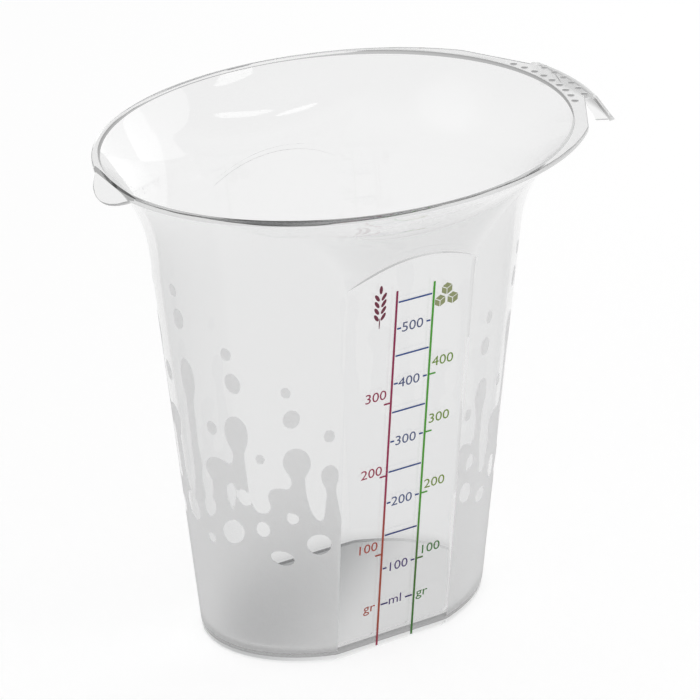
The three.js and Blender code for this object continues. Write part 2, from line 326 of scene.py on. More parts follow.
@dataclass
class RingLoft:
    """A closed shell grown ring by ring from a filled circle."""

    columns: int
    bm: Draft = field(default_factory=bmesh.new)
    ring: list[Edge] = field(default_factory=list)

    def start(self, shape: Shape) -> None:
        """Makes the first ring, filled.

        Args:
            shape: Gives the ring's point for an angle.
        """
        self.turn = self.bm.verts.layers.float.new("turn")
        made = bmesh.ops.create_circle(
            self.bm, cap_ends=True, segments=self.columns, radius=1.0
        )["verts"]
        for vert in made:
            vert[self.turn] = math.atan2(vert.co.y, vert.co.x)
        for vert in made:
            vert.co = shape(vert[self.turn])
        self.ring = list(self.bm.edges)

    def grow(self, shape: Shape, slot: Slot = Slot.CLEAR) -> None:
        """Extrudes the open ring and moves the copy to its next place.

        Args:
            shape: Gives the new ring's point for an angle.
            slot: The material slot of the faces between the two rings.
        """
        made = bmesh.ops.extrude_edge_only(self.bm, edges=self.ring)["geom"]
        verts = {g for g in made if isinstance(g, Vert)}
        for vert in verts:
            vert.co = shape(vert[self.turn])
        self.ring = [
            g for g in made
            if isinstance(g, Edge) and verts.issuperset(g.verts)
        ]
        for face in (g for g in made if isinstance(g, Face)):
            face.material_index = slot.value

    def close(self) -> Draft:
        """Fills the last ring and turns every face outwards.

        Returns:
            The finished shell.
        """
        bmesh.ops.contextual_create(self.bm, geom=self.ring)
        bmesh.ops.recalc_face_normals(self.bm, faces=self.bm.faces)
        return self.bm


class Workbench:
    """Turns shells into objects and joins or cuts them."""

    @staticmethod
    def mesh_object(name: str, bm: Draft) -> Solid:
        """Makes an object of a shell that is in millimetres from the foot's centre.

        Args:
            name: The object's name.
            bm: The shell, which is freed.

        Returns:
            The object, at the origin, with its place in its mesh.
        """
        bmesh.ops.recalc_face_normals(bm, faces=bm.faces)
        bmesh.ops.translate(bm, verts=bm.verts, vec=Vector((FORM.centre_x, 0.0, 0.0)))
        bmesh.ops.scale(bm, verts=bm.verts, vec=Vector((MM, MM, MM)))
        mesh = bpy.data.meshes.new(name)
        bm.to_mesh(mesh)
        bm.free()
        for _ in Slot:
            mesh.materials.append(None)
        made = bpy.data.objects.new(name, mesh)
        bpy.context.scene.collection.objects.link(made)
        return made

    @staticmethod
    def combine(base: Solid, steps: Iterable[tuple[Join, Solid]]) -> None:
        """Joins and cuts a solid, and removes the tools.

        Args:
            base: The solid to change.
            steps: What to do, with which solid, in order.
        """
        steps = list(steps)
        for count, (how, tool) in enumerate(steps):
            step = base.modifiers.new(f"step_{count}", "BOOLEAN")
            step.operation = how.value
            step.object = tool
            step.solver = "MANIFOLD"
            step.material_mode = "INDEX"
        bpy.context.view_layer.update()
        graph = bpy.context.evaluated_depsgraph_get()
        result = bpy.data.meshes.new_from_object(base.evaluated_get(graph))
        result.name = base.name
        base.modifiers.clear()
        old, base.data = base.data, result
        bpy.data.meshes.remove(old)
        for _, tool in steps:
            tool_mesh = tool.data
            bpy.data.objects.remove(tool)
            bpy.data.meshes.remove(tool_mesh)


@dataclass
class MouldedBody:
    """The clear moulding: walls, floor, foot, panels, flange, beak, tab and pips."""

    form: JugForm
    columns: int = 288
    row_step: float = 1.25
    edge_round: float = 0.35
    round_steps: int = 4
    crease: float = math.radians(11.0)
    frost_top: float = 126.0
    panel_overcut: float = 1.6
    panel_slope: float = 0.47
    panel_slope_reach: float = 8.0
    panel_reach: float = 50.0
    arch_steps: int = 64
    recess_round: float = 0.4
    tab_round: float = 1.1
    tab_spread: float = math.radians(28.0)
    beak_round: float = 0.3
    overshoot: float = 2.0
    frost_foot: float = 1.6
    flat_within: float = math.radians(0.3)

    def build(self) -> Solid:
        """Models the body.

        Returns:
            The body's object.
        """
        bench = Workbench()
        body = bench.mesh_object("clear_body", self.outside())
        hollow = bench.mesh_object("hollow", self.hollow())
        bench.combine(hollow, (
            (Join.CUT, bench.mesh_object(
                "panel_inside", self.panel_block(side, self.form.wall, self.panel_slope)
            ))
            for side in SIDES
        ))
        bench.combine(hollow, (
            (Join.CUT, bench.mesh_object("panel_fillet", self.panel_fillet(side)))
            for side in SIDES
        ))
        bench.combine(body, (
            (Join.CUT, bench.mesh_object("panel", self.panel_block(side, 0.0, slope)))
            for side, slope in ((-1, 0.0), (1, self.panel_slope))
        ))
        half = self.form.tab_half_width
        inside = half - self.form.tab_cheek_width
        tab = bench.mesh_object("tab", self.tab_slice(self.tongue_section, -half, half))
        bench.combine(tab, [
            (Join.ADD, bench.mesh_object("cheek", self.tab_slice(self.cheek_section, low, high)))
            for low, high in ((-half, -inside), (inside, half))
        ])
        bench.combine(body, [
            (Join.ADD, tab),
            (Join.ADD, bench.mesh_object("pips", self.pips())),
            (Join.CUT, bench.mesh_object("spout_gap", self.spout_gap())),
            (Join.ADD, bench.mesh_object("beak", self.beak_lip())),
            (Join.CUT, hollow),
            (Join.CUT, bench.mesh_object("foot_hollow", self.foot_hollow())),
        ])
        self.smooth(body)
        return body

    def arc(self, radius: float) -> list[tuple[float, float]]:
        """Steps round a quarter circle.

        Args:
            radius: The circle's radius.

        Returns:
            How far in and how far along each step lies, from a full inset to none.
        """
        quarter = math.pi / 2
        angles = [quarter * i / self.round_steps for i in range(self.round_steps + 1)]
        return [(radius * (1 - math.sin(a)), radius * (1 - math.cos(a))) for a in angles]

    def heights(self, low: float, high: float) -> list[float]:
        """Even steps from one height to another, no longer than the row step."""
        count = max(1, round((high - low) / self.row_step))
        return [low + (high - low) * i / count for i in range(count + 1)]

    def outside(self) -> Draft:
        """The full outer shape, up the wall, round the flange and over the top.

        Returns:
            The shell.
        """
        form, loft = self.form, RingLoft(self.columns)
        edge = self.edge_round
        steps = self.arc(edge)
        loft.start(lambda turn: form.oval(turn, 0.0, Skin.OUTER, edge))
        for inset, rise in steps[1:]:
            loft.grow(lambda turn: form.oval(turn, rise, Skin.OUTER, inset))
        for z in self.heights(edge, form.flange_underside)[1:]:
            slot = Slot.FLANK if self.frost_foot < z < self.frost_top else Slot.CLEAR
            loft.grow(
                lambda turn: form.oval(turn, z, Skin.OUTER, form.thinned(turn, z)), slot
            )
        low = form.flange_underside

        def underside(turn: float, inset: float, z: float) -> Vector:
            """A point between the flange's edge and the wall below it.

            Args:
                turn: Angle round the section.
                inset: How far in from the edge, up to the wall.
                z: Height.

            Returns:
                The point.
            """
            wall = form.oval(turn, low, Skin.OUTER, form.thinned(turn, low))
            rim = form.flange(turn, low)
            gap = (wall - rim).length
            point = rim.lerp(wall, min(1.0, inset / gap) if gap > 1e-6 else 0.0)
            point.z = z
            return point

        for inset, rise in steps:
            loft.grow(lambda turn: underside(turn, inset, low + rise))
        for inset, rise in reversed(steps):
            loft.grow(lambda turn: form.flange(turn, form.height - rise, inset))
        return loft.close()

    def hollow(self) -> Draft:
        """What the jug holds, from the floor up past the rim.

        Returns:
            The shell.
        """
        form, loft = self.form, RingLoft(self.columns)
        fillet = form.floor_fillet
        steps = 2 * self.round_steps
        angles = [math.pi / 2 * i / steps for i in range(steps + 1)]
        rings = [
            (form.floor_top + fillet * (1 - math.cos(a)), fillet * (1 - math.sin(a)))
            for a in angles
        ]
        loft.start(lambda turn: form.oval(turn, rings[0][0], Skin.INNER, rings[0][1]))
        for z, inset in rings[1:]:
            loft.grow(lambda turn: form.oval(turn, z, Skin.INNER, inset))
        top = form.height - self.edge_round
        for z in self.heights(form.floor_top + fillet, top)[1:]:
            loft.grow(lambda turn: form.oval(turn, z, Skin.INNER))
        for inset, rise in reversed(self.arc(self.edge_round)[:-1]):
            loft.grow(lambda turn: form.oval(
                turn, form.height - rise, Skin.INNER, -inset
            ))
        loft.grow(lambda turn: form.oval(turn, form.height, Skin.INNER, -self.edge_round)
                  + Vector((0.0, 0.0, self.overshoot)))
        return loft.close()

    def arch_outline(
        self, bm: Draft, half: float, radius: float, away: float
    ) -> list[Edge]:
        """Draws an arch-topped outline.

        Args:
            bm: Where to draw it.
            half: Its half-width.
            radius: Its arch's radius.
            away: How far in front of the panel's face it lies.

        Returns:
            Its edges.
        """
        before = set(bm.edges)
        start = math.acos(half / radius)
        centre = Vector((0.0, -away, self.form.arch_top - self.form.arch_radius))
        first = bm.verts.new((half, -away, centre.z + radius * math.sin(start)))
        last = bmesh.ops.spin(
            bm, geom=[first], cent=centre, axis=Vector((0.0, -1.0, 0.0)),
            angle=math.pi - 2 * start, steps=self.arch_steps,
        )["geom_last"][0]
        corners = [bm.verts.new((x, -away, -self.overshoot)) for x in (-half, half)]
        for ends in ((last, corners[0]), corners, (corners[1], first)):
            bm.edges.new(ends)
        return [edge for edge in bm.edges if edge not in before]

    def panel_block(self, side: int, depth: float, slope: float) -> Draft:
        """What lies outside a panel's face: an arch-topped block that leans with it.

        Args:
            side: -1 for the front, 1 for the back.
            depth: How far its face moves into the jug and its arch grows.
            slope: How much it widens on its way out from the face.

        Returns:
            The shell.
        """
        form, bm = self.form, bmesh.new()
        radius = form.arch_radius + depth
        half = form.panel_half_width + max(depth, self.panel_overcut)
        near, far = (
            self.arch_outline(bm, half + slope * away, radius + slope * away, away)
            for away in (0.0, self.panel_slope_reach)
        )
        bmesh.ops.bridge_loops(bm, edges=near + far)
        bmesh.ops.contextual_create(bm, geom=near)
        face = bmesh.ops.contextual_create(bm, geom=far)["faces"]
        made = bmesh.ops.extrude_face_region(bm, geom=face)["geom"]
        moved = [g for g in made if isinstance(g, Vert)]
        bmesh.ops.translate(bm, verts=moved, vec=Vector((0.0, -self.panel_reach, 0.0)))
        bmesh.ops.delete(bm, geom=[f for f in face if f.is_valid], context="FACES_ONLY")
        stretch = 1 / math.cos(form.panel_lean)
        bmesh.ops.scale(bm, verts=bm.verts, vec=Vector((1.0, 1.0, stretch)))
        bmesh.ops.recalc_face_normals(bm, faces=bm.faces)
        bmesh.ops.translate(bm, verts=bm.verts, vec=Vector((0.0, depth, 0.0)))
        bmesh.ops.rotate(
            bm, verts=bm.verts, cent=Vector(), matrix=Matrix.Rotation(form.panel_lean, 3, "X")
        )
        bmesh.ops.translate(bm, verts=bm.verts, vec=Vector((0.0, -form.panel_foot, 0.0)))
        self.turn_to(bm, side)
        return bm

    @staticmethod
    def turn_to(bm: Draft, side: int) -> None:
        """Turns a front shape to the back.

        Args:
            bm: The shape.
            side: -1 to leave it at the front, 1 to turn it.
        """
        if side > 0:
            turn = Matrix.Rotation(math.pi, 3, "Z")
            bmesh.ops.rotate(bm, verts=bm.verts, cent=Vector(), matrix=turn)

    def panel_fillet(self, side: int) -> Draft:
        """The rounded inner corner between the floor and a panel.

        Args:
            side: -1 for the front, 1 for the back.

        Returns:
            The shell.
        """
        form, bm = self.form, bmesh.new()
        slope = math.hypot(1.0, form.panel_draft)
        face = form.panel_foot - form.wall * slope + form.panel_draft * form.floor_top
        radius, sink = form.floor_fillet, 0.9
        length = form.panel_half_width - form.wall
        first = bm.verts.new((-length, radius - face, form.floor_top))
        centre = Vector((-length, radius - face, form.floor_top + radius))
        bmesh.ops.spin(
            bm, geom=[first], cent=centre, axis=Vector((-1.0, 0.0, 0.0)),
            angle=math.pi / 2, steps=2 * self.round_steps,
        )
        last = max(bm.verts, key=lambda v: v.co.z)
        spots = (
            (-length, -face - sink, form.floor_top + radius),
            (-length, -face - sink, form.floor_top - sink),
            (-length, radius - face, form.floor_top - sink),
        )
        chain = [last, *(bm.verts.new(spot) for spot in spots), first]
        for a, b in zip(chain, chain[1:]):
            bm.edges.new((a, b))
        section = bmesh.ops.contextual_create(bm, geom=list(bm.edges))["faces"]
        made = bmesh.ops.extrude_face_region(bm, geom=section)["geom"]
        moved = [g for g in made if isinstance(g, Vert)]
        bmesh.ops.translate(bm, verts=moved, vec=Vector((2 * length, 0.0, 0.0)))
        self.turn_to(bm, side)
        return bm

    def foot_hollow(self) -> Draft:
        """The shallow recess under the floor.

        Returns:
            The shell.
        """
        form, loft = self.form, RingLoft(self.columns)

        def ring(turn: float, z: float, inset: float) -> Vector:
            """A point of the recess's outline, flat along the panels.

            Args:
                turn: Angle round the section.
                z: Height.
                inset: How far in from the foot ring.

            Returns:
                The point.
            """
            point = form.oval(turn, 0.0, Skin.OUTER, form.foot_ring + inset)
            flat = form.panel_foot - form.foot_ring - inset
            return Vector((point.x, max(-flat, min(flat, point.y)), z))

        loft.start(lambda turn: ring(turn, -self.overshoot, 0.0))
        loft.grow(lambda turn: ring(turn, form.foot_recess - self.recess_round, 0.0))
        for inset, rise in reversed(self.arc(self.recess_round)[:-1]):
            loft.grow(lambda turn: ring(turn, form.foot_recess - rise, inset))
        made = loft.close()
        for face in made.faces:
            face.material_index = Slot.BASE.value
        return made

    def tab_face(self, bm: Draft, radius: float) -> list[Vert]:
        """Draws a face of the tab in section: it rolls over, then slopes down.

        Args:
            bm: Where to draw it.
            radius: Of its roll.

        Returns:
            Its points, from the flat top outwards.
        """
        form = self.form
        roll = Vector((form.tab_roll_start, 0.0, form.height - form.tab_roll_radius))
        chain = [bm.verts.new(roll + Vector((0.0, 0.0, radius)))]
        bmesh.ops.spin(
            bm, geom=chain[:], cent=roll, axis=Vector((0.0, 1.0, 0.0)),
            angle=form.tab_slope, steps=10,
        )
        while True:
            ahead = [e.other_vert(chain[-1]) for e in chain[-1].link_edges]
            ahead = [vert for vert in ahead if vert not in chain]
            if not ahead:
                break
            chain.append(ahead[0])
        bottom = form.height - form.tab_droop
        run = (chain[-1].co.z - bottom) / math.tan(form.tab_slope)
        chain.append(bm.verts.new((chain[-1].co.x + run, 0.0, bottom)))
        bm.edges.new(chain[-2:])
        return chain

    def tongue_section(self, bm: Draft) -> None:
        """Draws the tab's own section: a band of even thickness.

        Args:
            bm: Where to draw it.
        """
        form = self.form
        outer = self.tab_face(bm, form.tab_roll_radius)
        inner = self.tab_face(bm, form.tab_roll_radius - form.tab_thickness)
        root = form.tab_roll_start - form.tab_root_depth
        ends = [bm.verts.new((root, 0.0, chain[0].co.z)) for chain in (outer, inner)]
        bm.edges.new((ends[0], outer[0]))
        bm.edges.new((ends[1], inner[0]))
        bm.edges.new(ends)
        bm.edges.new((outer[-1], inner[-1]))

    def cheek_section(self, bm: Draft) -> None:
        """Draws the section of a cheek, which runs from the flange's edge down to the tip.

        Args:
            bm: Where to draw it.
        """
        form = self.form
        outer = self.tab_face(bm, form.tab_roll_radius)
        root = form.tab_roll_start - form.tab_cheek_root
        spots = (
            (root, form.height),
            (root, form.flange_underside + 0.2),
            (
                outer[-1].co.x - form.tab_cheek_foot,
                form.height - form.tab_droop + form.tab_cheek_rise,
            ),
        )
        chain = [outer[0], *(bm.verts.new((x, 0.0, z)) for x, z in spots), outer[-1]]
        for pair in zip(chain, chain[1:]):
            bm.edges.new(pair)

    def tab_slice(
        self, section: Callable[[Draft], None], low: float, high: float
    ) -> Draft:
        """A section turned about the tab's centre and cut to a slice across the jug.

        Args:
            section: Draws the section's outline.
            low: Where the slice begins across the jug.
            high: Where it ends.

        Returns:
            The shell, with the tab's upper side edges rounded.
        """
        form, bm = self.form, bmesh.new()
        section(bm)
        middle = Vector((form.tab_roll_start - form.tab_plan_radius, 0.0, 0.0))
        face = bmesh.ops.contextual_create(bm, geom=list(bm.edges))["faces"]
        spread = self.tab_spread
        bmesh.ops.rotate(
            bm, verts=bm.verts, cent=middle, matrix=Matrix.Rotation(-spread, 3, "Z")
        )
        bmesh.ops.spin(
            bm, geom=[*face, *face[0].edges, *face[0].verts], cent=middle,
            axis=Vector((0.0, 0.0, 1.0)), angle=2 * spread, steps=72,
        )
        bmesh.ops.remove_doubles(bm, verts=bm.verts, dist=1e-5)
        root = form.tab_roll_start - form.tab_root_depth
        for spot, away in (
            ((0.0, low, 0.0), (0.0, -1.0, 0.0)),
            ((0.0, high, 0.0), (0.0, 1.0, 0.0)),
            ((root, 0.0, 0.0), (-1.0, 0.0, 0.0)),
        ):
            cut = bmesh.ops.bisect_plane(
                bm, geom=[*bm.verts, *bm.edges, *bm.faces], plane_co=Vector(spot),
                plane_no=Vector(away), clear_outer=True, clear_inner=False, dist=1e-6,
            )["geom_cut"]
            edges = [g for g in cut if isinstance(g, Edge)]
            bmesh.ops.holes_fill(bm, edges=edges, sides=0)
        bmesh.ops.recalc_face_normals(bm, faces=bm.faces)
        side = [
            e for e in bm.edges
            if all(abs(v.co.y) > form.tab_half_width - 1e-4 for v in e.verts)
            and any(f.normal.z > 0.3 for f in e.link_faces)
        ]
        bmesh.ops.bevel(
            bm, geom=side, offset=self.tab_round, offset_type="OFFSET", affect="EDGES",
            segments=4, profile=0.5, material=-1,
        )
        return bm

    def pips(self) -> Draft:
        """The grip pips: low domes in two rows that share the tab's centre.

        Returns:
            The shells.
        """
        form, bm = self.form, bmesh.new()
        middle = form.tab_roll_start - form.tab_plan_radius
        for inset, steps in form.pip_rows:
            row = form.tab_plan_radius - inset
            for step in range(-steps, steps + 1):
                angle = form.pip_pitch * step
                dome = bmesh.ops.create_uvsphere(bm, u_segments=20, v_segments=12, radius=1.0)
                size = Vector((form.pip_radius, form.pip_radius, form.pip_height))
                bmesh.ops.scale(bm, verts=dome["verts"], vec=size)
                spot = (middle + row * math.cos(angle), row * math.sin(angle), form.height)
                bmesh.ops.translate(bm, verts=dome["verts"], vec=Vector(spot))
        return bm

    def half_moon(self, bm: Draft, extra: float) -> list[Face]:
        """The beak's plan, laid on its sloping top.

        Args:
            bm: Where to draw it.
            extra: How much longer it is than the beak.

        Returns:
            The face.
        """
        form = self.form
        count = 40
        grade = form.beak_drop / form.beak_length
        chain = []
        for i in range(count + 1):
            share = 1 - 2 * i / count
            bulge = form.beak_length * (1 - abs(share) ** form.beak_power) + extra
            chain.append((-form.beak_root - bulge, form.beak_half_width * share))
        inside = -form.beak_root + form.beak_root_depth
        chain += [(inside, -form.beak_half_width), (inside, form.beak_half_width)]
        verts = [
            bm.verts.new((x, y, form.height + (x + form.beak_root) * grade)) for x, y in chain
        ]
        return [bm.faces.new(verts)]

    def beak_lip(self) -> Draft:
        """The beak: a half-moon lip that slopes down and out, with a rounded edge.

        Returns:
            The shell.
        """
        form, bm = self.form, bmesh.new()
        face = self.half_moon(bm, 0.0)
        made = bmesh.ops.extrude_face_region(bm, geom=face)["geom"]
        moved = [g for g in made if isinstance(g, Vert)]
        slope = math.atan2(form.beak_drop, form.beak_length)
        down = Vector((math.sin(slope), 0.0, -math.cos(slope))) * form.beak_thickness
        bmesh.ops.translate(bm, verts=moved, vec=down)
        bmesh.ops.recalc_face_normals(bm, faces=bm.faces)
        rim = [
            e for e in bm.edges
            if all(v.co.x < -form.beak_root + 2.0 for v in e.verts)
            and e.calc_face_angle(0.0) > math.radians(60.0)
        ]
        bmesh.ops.bevel(
            bm, geom=rim, offset=self.beak_round, offset_type="OFFSET", affect="EDGES", segments=3,
            profile=0.5, material=-1,
        )
        top = Vector((0.0, 0.0, form.height))
        cut = bmesh.ops.bisect_plane(
            bm, geom=[*bm.verts, *bm.edges, *bm.faces], plane_co=top,
            plane_no=Vector((0.0, 0.0, 1.0)), clear_outer=True, dist=1e-6,
        )["geom_cut"]
        edges = [g for g in cut if isinstance(g, Edge)]
        bmesh.ops.holes_fill(bm, edges=edges, sides=0)
        return bm

    def spout_gap(self) -> Draft:
        """The gap in the flange above the beak's sloping top.

        Returns:
            The shell.
        """
        bm, longer, tall = bmesh.new(), 4.0, 20.0
        face = self.half_moon(bm, longer)
        made = bmesh.ops.extrude_face_region(bm, geom=face)["geom"]
        moved = [g for g in made if isinstance(g, Vert)]
        bmesh.ops.translate(bm, verts=moved, vec=Vector((0.0, 0.0, tall)))
        return bm

    def smooth(self, body: Solid) -> None:
        """Shades the body smooth, with its true edges sharp and its panels flat.

        Args:
            body: The body's object.
        """
        mesh = body.data
        mesh.shade_smooth()
        mesh.set_sharp_from_angle(angle=self.crease)
        lean = self.form.panel_lean
        facing = Vector((0.0, math.cos(lean), -math.sin(lean)))
        for face in mesh.polygons:
            way = Vector((face.normal.x, abs(face.normal.y), face.normal.z))
            way.z = math.copysign(face.normal.z, face.normal.y * face.center.y * face.normal.z)
            if abs(way.dot(facing)) > math.cos(self.flat_within):
                face.use_smooth = False
        mesh.validate()


class Sheet:
    """A node tree, with short ways to add and link nodes."""

    def __init__(self, owner: Material | World, kind: str = "Material") -> None:
        """Starts an empty tree.

        Args:
            owner: The material or the world.
            kind: Which of the two it is.
        """
        self.owner = owner
        owner.use_nodes = True
        self.tree = owner.node_tree
        self.tree.nodes.clear()
        self.out = self.add("Output" + kind)

    def add(self, kind: str, *inputs: object, **values: object) -> Node:
        """Adds a node.

        Args:
            kind: The node's type without its prefix.
            *inputs: Its first inputs, in order.
            **values: Properties, or inputs by name with spaces as underscores.

        Returns:
            The node.
        """
        node = self.tree.nodes.new("ShaderNode" + kind)
        for index, value in enumerate(inputs):
            self.feed(node, index, value)
        for key, value in values.items():
            if hasattr(node, key):
                setattr(node, key, value)
            else:
                self.feed(node, key.replace("_", " "), value)
        return node

    def feed(self, node: Node, name: str | int, value: object) -> None:
        """Sets an input, or links it where the value is a socket.

        Args:
            node: The node.
            name: The input's name or number.
            value: What it takes.
        """
        if isinstance(value, Socket):
            self.tree.links.new(value, node.inputs[name])
        else:
            node.inputs[name].default_value = value

    def math(self, how: str, *values: object) -> Socket:
        """The result of a Math node."""
        return self.add("Math", *values, operation=how).outputs[0]

    def mix_shader(self, share: Socket, first: Node, second: Node) -> Node:
        """Mixes what two nodes show."""
        return self.add("MixShader", share, first.outputs[0], second.outputs[0])

    def mix(self, share: object, first: object, second: object) -> Socket:
        """Mixes two numbers."""
        return self.add("Mix", share, data_type="FLOAT", A=first, B=second).outputs[0]

    def mix_colour(self, share: object, first: object, second: object) -> Socket:
        """Mixes two colours.

        Args:
            share: How much of the second.
            first: The first, a colour or a socket.
            second: The second.

        Returns:
            The mix.
        """
        node = self.add("Mix", share, data_type="RGBA")
        for index, value in ((6, first), (7, second)):
            self.feed(node, index, value if isinstance(value, Socket) else rgba(value))
        return node.outputs[2]

    def ease(self, value: Socket, low: float, high: float, **values: object) -> Socket:
        """Maps a range smoothly, to 0 to 1 unless said otherwise."""
        values = {"interpolation_type": "SMOOTHSTEP", "From_Min": low, "From_Max": high, **values}
        return self.add("MapRange", value, **values).outputs[0]

    def place(self) -> Socket:
        """The object's own coordinates."""
        return self.add("TexCoord").outputs["Object"]

    def noise(self, scale: float, detail: float = 2.0, where: Socket | None = None) -> Socket:
        """A noise value on the object's own coordinates."""
        where = where or self.place()
        return self.add("TexNoise", where, Scale=scale, Detail=detail).outputs["Fac"]

    def finish(self, shader: Node) -> Material | World:
        """Links the surface and returns the tree's owner."""
        self.feed(self.out, "Surface", shader.outputs[0])
        return self.owner


def rgba(colour: Colour) -> tuple[float, float, float, float]:
    """A colour with full alpha."""
    return (*colour, 1.0)


BLACK: Colour = (0.0, 0.0, 0.0)
WHITE: Colour = (1.0, 1.0, 1.0)


@dataclass(frozen=True)
class JugPlastic:
    """Clear styrene: frosted where the splash lies, and finely textured under the foot.

    The piece carries two values at its corners: how deep a point lies in the frost, in
    millimetres, and whether it is on the textured face under the foot. There the tint is
    painted shadow: dark towards the beak and the back, paler towards the tab and the front,
    for the shadowed ground under the jug seen through the base.
    """

    name: str = "clear_plastic"
    ior: float = 1.5
    tint: Colour = (0.985, 0.986, 0.986)
    absorbed: float = 45.0
    flow: float = 0.02
    flow_depth: float = 0.002
    flow_scale: float = 28.0
    flow_upright: Spot = (1.0, 1.0, 0.35)
    haze: float = 0.03
    haze_scale: float = 60.0
    frost_edge: float = 0.12
    frost_rough: float = 0.62
    frost_spread: float = 0.05
    frost_tint: Colour = (0.992, 0.993, 0.995)
    frost_late: Colour = (0.96, 0.961, 0.963)
    milk: float = 0.45
    grain_rough: float = 0.35
    grain_scale: float = 1400.0
    grain_bump: float = 0.25
    grain_depth: float = 0.0004
    # Painted shadow under the foot: its dark tint, the paler tint it fades to, and where and which
    # way it fades.
    painted_shadow_tint: Colour = (0.53, 0.535, 0.54)
    painted_shadow_pale_end: Colour = (0.94, 0.94, 0.94)
    painted_shadow_span: tuple[float, float] = (-0.03, 0.014)
    painted_shadow_slant: float = 1.2
    lamp_loss: float = 0.97
    frost_loss: float = 0.85
    deepest: float = 1.5

    def make(self) -> Material:
        """Builds the material.

        A ray that has met many faces is let out, as the real plastic's fine scratches let it
        out, instead of running round inside until it is lost.

        Returns:
            The material.
        """
        sheet = Sheet(bpy.data.materials.new(self.name))
        depth, grained_and_shaded = (
            sheet.add("Attribute", attribute_name=mark.value).outputs["Fac"] for mark in Mark
        )
        frost = sheet.ease(depth, -self.frost_edge, self.frost_edge)
        # Under the foot the tint is painted shadow: dark towards the beak and the back, paler
        # towards the tab and the front.
        split = sheet.add("SeparateXYZ", sheet.place())
        across = sheet.math("MULTIPLY", split.outputs[1], self.painted_shadow_slant)
        painted_shadow_drift = sheet.ease(sheet.math("SUBTRACT", split.outputs[0], across), *self.painted_shadow_span)
        under = sheet.mix_colour(painted_shadow_drift, self.painted_shadow_tint, self.painted_shadow_pale_end)
        tint = sheet.mix_colour(frost, self.tint, self.frost_tint)
        tint = sheet.mix_colour(grained_and_shaded, tint, under)
        grain = sheet.noise(self.grain_scale, 3.0)
        rough = sheet.mix(sheet.noise(self.haze_scale, 3.0), 0.0, self.haze)
        least = self.frost_rough - self.frost_spread
        rough = sheet.mix(frost, rough, sheet.mix(grain, least, self.frost_rough))
        rough = sheet.mix(grained_and_shaded, rough, self.grain_rough)
        upright = sheet.add("Mapping", Vector=sheet.place(), Scale=self.flow_upright)
        flow = sheet.add(
            "Bump", Strength=self.flow, Distance=self.flow_depth,
            Height=sheet.noise(self.flow_scale, 1.0, upright.outputs[0]),
        )
        matt = sheet.math("MAXIMUM", frost, grained_and_shaded)
        bump = sheet.add(
            "Bump", Strength=self.grain_bump, Distance=self.grain_depth, Normal=flow.outputs[0],
            Height=sheet.math("MULTIPLY", grain, matt),
        )
        glass = sheet.add(
            "BsdfPrincipled", Base_Color=tint, Roughness=rough, IOR=self.ior,
            Transmission_Weight=sheet.mix(frost, 1.0, 1.0 - self.milk), Normal=bump.outputs[0],
        )
        loss = sheet.mix(frost, self.lamp_loss, self.frost_loss)
        film = sheet.add("BsdfTransparent", sheet.mix_colour(loss, BLACK, WHITE))
        path = sheet.add("LightPath").outputs
        lamps = sheet.mix_shader(path["Is Shadow Ray"], glass, film)
        late = sheet.math("GREATER_THAN", path["Ray Depth"], self.deepest)
        straight = sheet.add("BsdfTransparent", sheet.mix_colour(frost, tint, self.frost_late))
        body = sheet.add("VolumeAbsorption", Color=rgba(BLACK), Density=self.absorbed)
        sheet.feed(sheet.out, "Volume", body.outputs[0])
        return sheet.finish(sheet.mix_shader(late, lamps, straight))


@dataclass(frozen=True)
class PrintInk:
    """Screen-printed ink whose colour drifts down the panel."""

    name: str
    stops: tuple[tuple[float, Colour], ...]
    ior: float = 1.45
    rough_span: tuple[float, float] = (0.44, 0.58)
    rough_scale: float = 500.0
    speckle_span: tuple[float, float] = (0.92, 1.06)
    speckle_scale: float = 900.0

    def make(self) -> Material:
        """Builds the material.

        Returns:
            The material.
        """
        sheet = Sheet(bpy.data.materials.new(self.name))
        up = sheet.add("SeparateXYZ", sheet.place()).outputs[2]
        share = sheet.add("MapRange", Value=up, From_Max=FORM.height * MM).outputs[0]
        ramp = sheet.add("ValToRGB", share)
        points = ramp.color_ramp.elements
        while len(points) < len(self.stops):
            points.new(0.5)
        for point, (z, colour) in zip(points, self.stops):
            point.position = z / FORM.height
            point.color = rgba(colour)
        speckle = sheet.mix(sheet.noise(self.speckle_scale), *self.speckle_span)
        scaled = sheet.add("VectorMath", ramp.outputs[0], operation="SCALE", Scale=speckle)
        rough = sheet.mix(sheet.noise(self.rough_scale), *self.rough_span)
        return sheet.finish(sheet.add(
            "BsdfPrincipled", Base_Color=scaled.outputs[0], Roughness=rough, IOR=self.ior
        ))


@dataclass(frozen=True)
class Finger:
    """A finger of the splash: where it rises and ends, and its half-widths."""

    foot: float
    tip: float
    top: float
    stem: float
    wide: float
    tall: float
    root: float = 3.4


@dataclass(frozen=True)
class Egg:
    """A drop above the splash, or a clear bubble in it."""

    across: float
    up: float
    wide: float
    tall: float
    tilt: float = 0.0


@dataclass(frozen=True)
class FlankSplash:
    """What one flank's splash is drawn from."""

    fingers: tuple[Finger, ...]
    drops: tuple[Egg, ...]
    bubbles: tuple[Egg, ...]


def each(kind: type, *rows: tuple[float, ...]) -> tuple:
    """Makes one of a kind from each row of its values."""
    return tuple(kind(*row) for row in rows)


